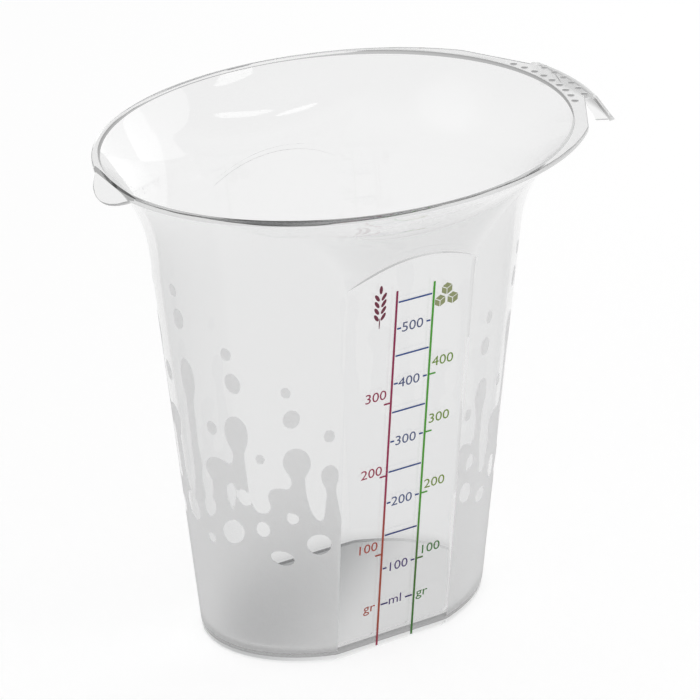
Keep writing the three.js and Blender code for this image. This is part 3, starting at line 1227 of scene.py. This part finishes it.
BEAK_SPLASH = FlankSplash(
    fingers=each(
        Finger,
        (-46, -45, 68, 1.2, 2.2, 3.4), (-37.5, -36, 74, 1.6, 3.7, 4.6, 4.2),
        (-29.5, -30.5, 60.5, 1.5, 2.6, 2.6), (-21.5, -20, 83, 1.5, 3.3, 5.4, 4.4),
        (-13, -13.5, 68, 1.8, 3.6, 4), (-5, -6, 97, 1.3, 2.5, 5.8, 3.8),
        (2.5, 3.5, 78, 1.7, 3.1, 4.2), (10.5, 9.5, 104, 1.2, 2.3, 5, 4),
        (18.5, 20, 71, 1.8, 3.8, 4.4), (27.5, 26.5, 86, 1.4, 2.8, 4.8, 4.2),
        (36, 37, 62, 1.8, 3.2, 3.4), (45, 44, 73, 1.3, 2.4, 4),
    ),
    drops=each(
        Egg,
        (-44.8, 77.5, 1.5, 2.1), (-35, 83.5, 2.2, 3, 12), (-33.8, 92, 1.3, 1.8),
        (-26.2, 70, 1.3, 1.6), (-20.2, 93.5, 2.1, 3.2, -8), (-19, 102.5, 1.4, 2),
        (-12.8, 77.5, 1.6, 2.2), (-5.2, 109, 1.9, 3.2, 6), (-4.4, 117.5, 1.3, 2),
        (4, 88.5, 2.2, 3, -10), (10.2, 114.5, 1.5, 2.5), (20.5, 81, 1.7, 2.3),
        (26, 97.5, 1.9, 2.9, 8), (26.8, 106, 1.2, 1.7), (43.5, 83, 1.5, 2.1),
    ),
    bubbles=each(
        Egg,
        (-41.8, 41.5, 3.7, 3.4, 25), (-34.5, 50.5, 1.7, 1.9), (-31, 37, 3.6, 2.3, 15),
        (-25.8, 46.5, 2, 2.6), (-20.8, 56.5, 1.9, 2.7, -12), (-16.6, 44, 3.3, 4.2, 28),
        (-9.2, 50.5, 2.1, 3.6, 10), (-8.5, 39.5, 1.5, 1.6), (-1.2, 47, 2.9, 4.4, -15),
        (6.5, 55, 1.6, 2.4), (8, 43, 2.4, 2.9, 12), (14.8, 51, 2, 4.2, -8),
        (22.6, 43.5, 3.2, 3.7, 20), (31, 50, 2.1, 3), (33.5, 39, 1.6, 1.7),
        (41, 46, 2.8, 3.3, -20),
    ),
)
TAB_SPLASH = FlankSplash(
    fingers=each(
        Finger,
        (-46.5, -46, 62, 1.4, 2.4, 3), (-39, -40, 81, 1.4, 2.7, 5.2, 4),
        (-31, -30, 66, 1.8, 3.4, 3.8), (-23.5, -24.5, 95, 1.3, 2.6, 5.6, 4.2),
        (-15, -14, 73, 1.7, 3.5, 4.4), (-6.5, -7.5, 102, 1.3, 2.5, 5, 4.2),
        (2, 3, 69, 1.9, 3.8, 4.2), (10.5, 11, 88, 1.4, 2.9, 4.8, 4),
        (19.5, 18.5, 64, 1.8, 3.2, 3.4), (28.5, 29.5, 92, 1.3, 2.5, 5.2, 4.4),
        (37, 36.5, 70, 1.7, 3.5, 4.2), (45.5, 45, 80, 1.3, 2.3, 4),
    ),
    drops=each(
        Egg,
        (-45.5, 71.5, 1.4, 1.9), (-40.5, 91.5, 2, 3, 8), (-39.8, 100.5, 1.4, 2.1),
        (-29.6, 75.5, 1.5, 2), (-24.8, 106, 1.9, 3.1, -6), (-23.8, 114.5, 1.4, 2.2),
        (-13.6, 83, 2, 2.7, 10), (-7.8, 112.5, 1.5, 2.6), (3.6, 78.5, 1.6, 2.2),
        (11.6, 98.5, 1.9, 2.9, -8), (12.2, 107, 1.2, 1.8), (29.8, 102.5, 1.6, 2.6),
        (36, 79.5, 1.8, 2.4), (44.8, 90, 1.5, 2.2),
    ),
    bubbles=each(
        Egg,
        (-43, 44.5, 2.6, 3.4, 15), (-42, 54.5, 1.5, 2.2), (-35, 50.5, 1.8, 2.9),
        (-34, 39.5, 2.9, 2.4, -12), (-27.5, 46, 2.2, 3.9, 10), (-19.5, 54, 1.7, 2.6),
        (-18.5, 42, 3.4, 3, 20), (-10.8, 48.5, 2, 3.6, -10), (-2.5, 43.5, 2.8, 3.6, 18),
        (6.5, 51.5, 1.8, 3), (8.5, 40.5, 1.6, 1.7), (15, 46.5, 2.7, 3.5, -15),
        (24, 48.5, 2, 3.2, 8), (32.8, 44, 3.2, 3.6, 22), (41, 50, 1.9, 2.8),
    ),
)


@dataclass
class Splash:
    """The frosted splash, drawn flat on the unrolled flanks, in millimetres.

    Across is the way round from the middle of a flank, up is the height.
    """

    form: JugForm
    pool: float = 47.0
    pool_steepness: float = 0.9
    waves: tuple[tuple[float, float, float], ...] = ((2.4, 0.19, 0.8), (1.4, 0.43, 0.0))
    pool_blend: float = 5.0
    head_blend: float = 2.2
    neck_drop: float = 8.0
    neck_top: float = 58.0
    neck_swell: float = 1.15
    root_sink: float = 6.0
    foot: float = 3.4
    side_height: float = 62.0
    outside: float = -5.0

    def mark(self, body: Solid) -> None:
        """Writes how deep in the frost each corner lies, and which corners lie on the textured face
        under the foot, which also carries painted shadow.

        Args:
            body: The body's object.
        """
        mesh = body.data
        spots = np.zeros(len(mesh.vertices) * 3)
        mesh.vertices.foreach_get("co", spots)
        spots = spots.reshape(-1, 3) / MM
        spots[:, 0] -= self.form.centre_x
        depth = np.full(len(spots), self.outside)
        for profile, plan in ((self.form.beak, BEAK_SPLASH), (self.form.tab, TAB_SPLASH)):
            here = (spots[:, 0] > 0) == (plan is TAB_SPLASH)
            depth[here] = self.depth(*self.unroll(spots[here], profile), plan)
        # The second mark, for the face under the foot, sets both its texture and its painted shadow.
        for mark in Mark:
            mesh.attributes.new(mark.value, "FLOAT", "CORNER")
        frost, grain = (mesh.attributes[mark.value].data for mark in Mark)
        for face in mesh.polygons:
            slot = Slot(face.material_index)
            for corner, spot in zip(face.loop_indices, face.vertices):
                frost[corner].value = depth[spot] if slot is Slot.FLANK else self.outside
                grain[corner].value = float(slot is Slot.BASE)

    def unroll(self, spots: np.ndarray, profile: WallProfile) -> tuple[np.ndarray, np.ndarray]:
        """Lays one flank flat.

        Args:
            spots: Points on it.
            profile: The wall's profile at its middle.

        Returns:
            How far round from its middle, and how high, each point lies.
        """
        form, half = self.form, 360
        length, width = (
            form.reach(side, self.side_height, Skin.OUTER) for side in (profile, form.side)
        )
        fine = np.linspace(-math.pi / 2, math.pi / 2, 2 * half + 1)
        steps = np.hypot(np.diff(length * np.cos(fine)), np.diff(width * np.sin(fine)))
        way = np.concatenate([[0.0], np.cumsum(steps)])
        way -= way[half]
        here = [
            np.array([form.reach(side, z, Skin.OUTER) for z in spots[:, 2]])
            for side in (profile, form.side)
        ]
        turn = np.arctan2(spots[:, 1] / here[1], np.abs(spots[:, 0]) / here[0])
        return np.interp(turn, fine, way), spots[:, 2]

    def depth(self, across: np.ndarray, up: np.ndarray, plan: FlankSplash) -> np.ndarray:
        """How deep in the frost each point lies, less than nought outside it.

        Args:
            across: The way round.
            up: The height.
            plan: What the splash is drawn from.

        Returns:
            Depth in millimetres.
        """
        wave = self.pool
        for tall, pace, start in self.waves:
            wave = wave + tall * np.sin(across * pace + start)
        away = (up - wave) * self.pool_steepness
        for finger in plan.fingers:
            neck_up = min(finger.top - self.neck_drop, self.neck_top)
            neck = (0.4 * finger.foot + 0.6 * finger.tip, neck_up)
            tip = (finger.tip, finger.top - finger.tall)
            root = (finger.foot, self.pool - self.root_sink)
            swell = finger.stem * self.neck_swell
            stem = np.minimum(
                self.stalk(across, up, (root, neck), (finger.root, swell)),
                self.stalk(across, up, (neck, tip), (swell, finger.stem)),
            )
            head = self.egg(across, up, Egg(*tip, finger.wide, finger.tall))
            away = self.melt(away, self.melt(stem, head, self.head_blend), self.pool_blend)
        for drop in plan.drops:
            away = np.minimum(away, self.egg(across, up, drop))
        for bubble in plan.bubbles:
            away = np.maximum(away, -self.egg(across, up, bubble))
        return -np.maximum(away, self.foot - up)

    @staticmethod
    def melt(first: np.ndarray, second: np.ndarray, blend: float) -> np.ndarray:
        """Joins two distances with a rounded hollow between them."""
        share = np.clip(0.5 + 0.5 * (second - first) / blend, 0.0, 1.0)
        return second * (1 - share) + first * share - blend * share * (1 - share)

    @staticmethod
    def stalk(across: np.ndarray, up: np.ndarray, ends: Line, halves: Sequence[float]) -> np.ndarray:
        """Distance to a stalk that tapers from one point to another.

        Args:
            across: The way round.
            up: The height.
            ends: Where it begins and ends.
            halves: Its half-width at either end.

        Returns:
            Distance in millimetres.
        """
        low, high = ends
        run, rise = high[0] - low[0], high[1] - low[1]
        share = ((across - low[0]) * run + (up - low[1]) * rise) / (run**2 + rise**2)
        share = np.clip(share, 0.0, 1.0)
        away = np.hypot(across - low[0] - share * run, up - low[1] - share * rise)
        return away - halves[0] - (halves[1] - halves[0]) * share

    @staticmethod
    def egg(across: np.ndarray, up: np.ndarray, shape: Egg) -> np.ndarray:
        """Distance to an ellipse, near enough by its edge.

        Args:
            across: The way round.
            up: The height.
            shape: The ellipse.

        Returns:
            Distance in millimetres.
        """
        turn = math.radians(shape.tilt)
        right, rise = across - shape.across, up - shape.up
        u = right * math.cos(turn) + rise * math.sin(turn)
        v = rise * math.cos(turn) - right * math.sin(turn)
        inner = np.hypot(u / shape.wide, v / shape.tall)
        slope = np.hypot(u / shape.wide**2, v / shape.tall**2)
        return inner * (inner - 1.0) / np.maximum(slope, 1e-6)


@dataclass(frozen=True)
class Label:
    """A number or a unit sign on the panel."""

    text: str
    x: float
    baseline: float
    align: str = "CENTER"


@dataclass
class PanelPrint:
    """Numbers, unit signs and two small pictures beside the frame's marks."""

    form: JugForm
    digit_height: float = 3.0
    narrow: float = 1.08
    film: float = 0.05
    lift: float = 0.01
    volume_heights: tuple[float, ...] = (27.6, 50.2, 70.4, 89.3, 106.9)
    flour_heights: tuple[float, ...] = (33.6, 59.1, 83.9)
    sugar_heights: tuple[float, ...] = (27.45, 50.05, 71.8, 90.3)
    unit_baseline: float = 14.3

    def build(self) -> dict[str, Solid]:
        """Draws everything.

        Returns:
            The pieces, by the ink that they are printed in.
        """
        labels = {"volume": [Label("ml", 0.2, self.unit_baseline)],
                  "flour": [Label("gr", -6.4, self.unit_baseline - 0.4, "RIGHT")],
                  "sugar": [Label("gr", 7.2, self.unit_baseline - 0.4, "LEFT")]}
        drop = self.digit_height / 2
        for step, z in enumerate(self.volume_heights, 1):
            labels["volume"].append(Label(f"{step}00", 0.3, z + 0.1 - drop))
        for step, z in enumerate(self.flour_heights, 1):
            labels["flour"].append(Label(f"{step}00", -6.6, z + 2.9 - drop, "RIGHT"))
        for step, z in enumerate(self.sugar_heights, 1):
            labels["sugar"].append(Label(f"{step}00", 7.3, z + 2.9 - drop, "LEFT"))
        pictures = {"flour": self.wheat_ear, "sugar": self.sugar_cubes}
        made = {}
        for ink, texts in labels.items():
            bm = bmesh.new()
            for label in texts:
                self.letter(bm, label)
            if ink in pictures:
                pictures[ink](bm)
            self.raise_film(bm)
            self.lay(bm)
            made[ink] = Workbench.mesh_object(f"{ink}_numbers", bm)
        return made

    def letter(self, bm: Draft, label: Label) -> None:
        """Draws a label flat, X across and Y up.

        Args:
            bm: Where to draw it.
            label: What to draw.
        """
        curve = bpy.data.curves.new("label", "FONT")
        curve.fill_mode = "FRONT"
        curve.resolution_u = 4
        curve.body = "0"
        writer = bpy.data.objects.new("label", curve)
        bpy.context.scene.collection.objects.link(writer)
        bpy.context.view_layer.update()
        size = self.digit_height / writer.dimensions.y
        curve.body, curve.size, curve.align_x = label.text, size, label.align
        bpy.context.view_layer.update()
        graph = bpy.context.evaluated_depsgraph_get()
        mesh = bpy.data.meshes.new_from_object(writer.evaluated_get(graph))
        for vert in mesh.vertices:
            vert.co.x = vert.co.x * self.narrow + label.x
            vert.co.y += label.baseline
        bm.from_mesh(mesh)
        bpy.data.objects.remove(writer)
        bpy.data.curves.remove(curve)
        bpy.data.meshes.remove(mesh)

    def leaf(
        self, bm: Draft, x: float, y: float, wide: float, tall: float, tilt: float
    ) -> None:
        """Draws a filled ellipse.

        Args:
            bm: Where to draw it.
            x: Its middle, across.
            y: Its middle, up.
            wide: Its half-width.
            tall: Its half-height.
            tilt: How far it leans to the left, in degrees.
        """
        verts = bmesh.ops.create_circle(bm, cap_ends=True, segments=20, radius=1.0)["verts"]
        bmesh.ops.scale(bm, verts=verts, vec=Vector((wide, tall, 1.0)))
        turn = Matrix.Rotation(math.radians(tilt), 3, "Z")
        bmesh.ops.rotate(bm, verts=verts, cent=Vector(), matrix=turn)
        bmesh.ops.translate(bm, verts=verts, vec=Vector((x, y, 0.0)))

    def wheat_ear(self, bm: Draft) -> None:
        """Draws an ear of wheat: a stalk, pairs of grains and one at the tip.

        Args:
            bm: Where to draw it.
        """
        x, foot = -10.2, 108.4
        self.leaf(bm, x, foot + 1.6, 0.16, 1.7, 0.0)
        for step in range(4):
            for way in (-1, 1):
                self.leaf(bm, x + way * 1.05, foot + 3.6 + 2.05 * step, 0.5, 1.25, -way * 32.0)
        self.leaf(bm, x, foot + 12.0, 0.5, 1.3, 0.0)

    def sugar_cubes(self, bm: Draft) -> None:
        """Draws three lump-sugar cubes, each as its three faces with a gap between them.

        Args:
            bm: Where to draw them.
        """
        edge, gap = 2.0, 0.86
        across = edge * math.cos(math.radians(30.0))
        for x, y in ((-across - 0.25, 0.0), (across + 0.25, 0.0), (0.0, 1.5 * edge + 0.3)):
            for turn in (90.0, 210.0, 330.0):
                bearing = math.radians(turn)
                middle = Vector((math.cos(bearing), math.sin(bearing), 0.0)) * edge / 2
                verts = bmesh.ops.create_circle(
                    bm, cap_ends=True, segments=4, radius=edge / 2 * gap
                )["verts"]
                bmesh.ops.scale(bm, verts=verts, vec=Vector((1.0, math.sqrt(3.0), 1.0)))
                bmesh.ops.rotate(
                    bm, verts=verts, cent=Vector(), matrix=Matrix.Rotation(bearing, 3, "Z")
                )
                shift = middle + Vector((10.6 + x, 112.2 + y, 0.0))
                bmesh.ops.translate(bm, verts=verts, vec=shift)

    def raise_film(self, bm: Draft) -> None:
        """Gives the flat drawing the thickness of a film of ink.

        Args:
            bm: The drawing.
        """
        bmesh.ops.remove_doubles(bm, verts=bm.verts, dist=1e-4)
        for face in bm.faces:
            if face.normal.z < 0:
                face.normal_flip()
        made = bmesh.ops.extrude_face_region(bm, geom=list(bm.faces), use_keep_orig=True)["geom"]
        moved = [g for g in made if isinstance(g, Vert)]
        bmesh.ops.translate(bm, verts=moved, vec=Vector((0.0, 0.0, self.film)))

    def lay(self, bm: Draft) -> None:
        """Lays the drawing on the leaning front panel.

        Args:
            bm: The drawing.
        """
        form = self.form
        stretch = Vector((1.0, 1.0 / math.cos(form.panel_lean), 1.0))
        bmesh.ops.scale(bm, verts=bm.verts, vec=stretch)
        bmesh.ops.translate(bm, verts=bm.verts, vec=Vector((0.0, 0.0, self.lift)))
        turn = Matrix.Rotation(math.pi / 2 + form.panel_lean, 3, "X")
        bmesh.ops.rotate(bm, verts=bm.verts, cent=Vector(), matrix=turn)
        bmesh.ops.translate(bm, verts=bm.verts, vec=Vector((0.0, -form.panel_foot, 0.0)))


@dataclass(frozen=True)
class SoftBox:
    """A soft lamp: its direction and distance from the jug, its size and its power."""

    name: str
    way: Spot
    distance: float
    size: tuple[float, float]
    power: float


def place_aimed(name: str, data: bpy.types.ID, spot: Vector, aim: Vector) -> Solid:
    """Adds a lamp or a camera.

    Args:
        name: The object's name.
        data: The lamp or the camera.
        spot: Where it stands.
        aim: What it looks at.

    Returns:
        The object.
    """
    made = bpy.data.objects.new(name, data)
    made.location = spot
    made.rotation_euler = (aim - made.location).to_track_quat("-Z", "Y").to_euler()
    bpy.context.scene.collection.objects.link(made)
    return made


@dataclass(frozen=True)
class Studio:
    """A white sweep, soft lamps and the camera, in metres."""

    camera_spot: Vector = Vector((-360.22, -612.3, 458.55)) * MM
    camera_aim: Vector = Vector((-2.8, -1.03, 82.47)) * MM
    lens: float = 146.6
    sensor: float = 36.0
    lamp_aim: Vector = Vector((0.0, 0.0, 0.08))
    floor_size: float = 6.0
    sky: float = 1.0
    ceiling: float = 0.48
    sky_span: tuple[float, float] = (0.3, 0.8)
    soft_way: Spot = (-0.805, -0.25, 0.537)
    soft_span: tuple[float, float] = (0.9, 0.995)
    soft_gain: float = 0.5
    floor_glow: float = 0.63
    floor_matt: float = 0.6
    bounces: int = 24
    boxes: tuple[SoftBox, ...] = (
        SoftBox("key_box", (0.34, -0.5, 0.795), 1.3, (0.22, 0.1), 0.15),
        SoftBox("side_strip", (0.95, -0.12, 0.28), 1.3, (0.9, 1.5), 3.4),
    )

    def build(self) -> None:
        """Sets the world, the floor, the lamps and the camera."""
        self.world()
        self.floor()
        self.lamps()
        self.camera()
        paths = bpy.context.scene.cycles
        paths.max_bounces = self.bounces
        paths.glossy_bounces = self.bounces
        paths.transmission_bounces = self.bounces

    def world(self) -> None:
        """White low down, greyer overhead with one soft light, and pure white to the camera."""
        sheet = Sheet(bpy.data.worlds.new("studio"), "World")
        way = sheet.add("TexCoord").outputs["Generated"]
        up = sheet.add("SeparateXYZ", way).outputs[2]
        base = sheet.ease(up, *self.sky_span, To_Min=self.sky, To_Max=self.ceiling)
        aim = Vector(self.soft_way).normalized()
        toward = sheet.add("VectorMath", way, aim, operation="DOT_PRODUCT").outputs["Value"]
        soft = sheet.ease(
            toward, *self.soft_span, To_Max=self.soft_gain, interpolation_type="SMOOTHERSTEP"
        )
        glow = sheet.add("Background", Strength=sheet.math("ADD", base, soft))
        plain = sheet.add("Background", rgba(WHITE))
        seen = sheet.add("LightPath").outputs["Is Camera Ray"]
        bpy.context.scene.world = sheet.finish(sheet.mix_shader(seen, glow, plain))

    def floor(self) -> None:
        """A pale floor that shows white and keeps a soft shadow."""
        bm = bmesh.new()
        bmesh.ops.create_grid(bm, x_segments=8, y_segments=8, size=self.floor_size / 2)
        mesh = bpy.data.meshes.new("floor")
        bm.to_mesh(mesh)
        bm.free()
        floor = bpy.data.objects.new("floor", mesh)
        bpy.context.scene.collection.objects.link(floor)
        sheet = Sheet(bpy.data.materials.new("studio_floor"))
        matt = sheet.add("BsdfDiffuse", rgba((self.floor_matt,) * 3))
        glow = sheet.add("Emission", rgba(WHITE), self.floor_glow)
        both = sheet.add("AddShader", matt.outputs[0], glow.outputs[0])
        path = sheet.add("LightPath").outputs
        seen = path["Is Camera Ray"]
        for ray in ("Is Glossy Ray", "Is Transmission Ray"):
            seen = sheet.math("MAXIMUM", seen, path[ray])
        mesh.materials.append(sheet.finish(sheet.mix_shader(seen, matt, both)))

    def lamps(self) -> None:
        """The soft boxes, aimed at the middle of the jug."""
        for box in self.boxes:
            lamp = bpy.data.lights.new(box.name, "AREA")
            lamp.shape = "ELLIPSE"
            lamp.size, lamp.size_y = box.size
            lamp.energy = box.power
            spot = Vector(box.way).normalized() * box.distance + self.lamp_aim
            place_aimed(box.name, lamp, spot, self.lamp_aim)

    def camera(self) -> None:
        """Stands the camera where the photograph was taken from."""
        lens = bpy.data.cameras.new("camera")
        lens.lens = self.lens
        lens.sensor_width = self.sensor
        lens.clip_start = 0.01
        scene = bpy.context.scene
        scene.camera = place_aimed("camera", lens, self.camera_spot, self.camera_aim)


def srgb(red: int, green: int, blue: int) -> Colour:
    """A colour as it looks on screen, made linear."""
    parts = (part / 255 for part in (red, green, blue))
    return tuple(p / 12.92 if p <= 0.04045 else ((p + 0.055) / 1.055) ** 2.4 for p in parts)


def ink(name: str, *stops: tuple[float, int, int, int]) -> PrintInk:
    """An ink from its stops: a height in millimetres and a colour as it looks on screen."""
    return PrintInk(name, tuple((z, srgb(*colour)) for z, *colour in stops))


FORM = JugForm()
LINE_INKS = {
    "flour": ink(
        "flour_ink", (0, 172, 48, 92), (10, 186, 84, 58), (40, 186, 80, 62),
        (56, 176, 46, 92), (120, 160, 40, 88),
    ),
    "sugar": ink(
        "sugar_ink", (0, 58, 124, 42), (32, 74, 120, 36), (46, 88, 176, 48),
        (120, 84, 184, 52),
    ),
    "volume": ink(
        "volume_ink", (0, 60, 34, 104), (28, 58, 50, 122), (48, 58, 84, 150),
        (120, 56, 90, 164),
    ),
}
NUMBER_INKS = {
    "flour": ink(
        "flour_number_ink", (0, 190, 84, 62), (42, 190, 78, 60), (56, 186, 62, 92),
        (92, 170, 46, 88), (110, 128, 50, 74),
    ),
    "sugar": ink(
        "sugar_number_ink", (0, 70, 138, 52), (34, 62, 128, 50), (50, 140, 168, 62),
        (98, 134, 172, 66), (110, 176, 184, 134),
    ),
    "volume": ink(
        "volume_number_ink", (0, 82, 58, 116), (32, 84, 66, 130), (46, 88, 102, 150),
        (120, 96, 106, 146),
    ),
}


def dress(piece: Solid, material: Material) -> None:
    """Gives a piece its only material."""
    piece.data.materials.clear()
    piece.data.materials.append(material)


def main() -> None:
    """Builds the jug and the studio, and logs how many faces each piece has."""
    logging.basicConfig(level=logging.INFO, format="%(message)s")
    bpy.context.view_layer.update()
    bpy.context.scene.view_settings.view_transform = "Standard"
    Studio().build()
    log.info("studio: floor, lamps, camera")

    body = MouldedBody(FORM).build()
    Splash(FORM).mark(body)
    dress(body, JugPlastic().make())
    body.data.polygons.foreach_set("material_index", [0] * len(body.data.polygons))
    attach(body, "root")
    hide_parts("jug_body")
    log.info("clear_body: %d faces", len(body.data.polygons))

    for kind, piece in PanelPrint(FORM).build().items():
        dress(piece, NUMBER_INKS[kind].make())
        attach(piece, "root")
        log.info("%s: %d faces", piece.name, len(piece.data.polygons))

    made = {kind: print_ink.make() for kind, print_ink in LINE_INKS.items()}
    for name, node in frame["nodes"].items():
        kind = name.split("_")[0]
        if kind in made:
            dress(node, made[kind])
            log.info("%s: %s ink", name, kind)


if __name__ == "__main__":
    main()
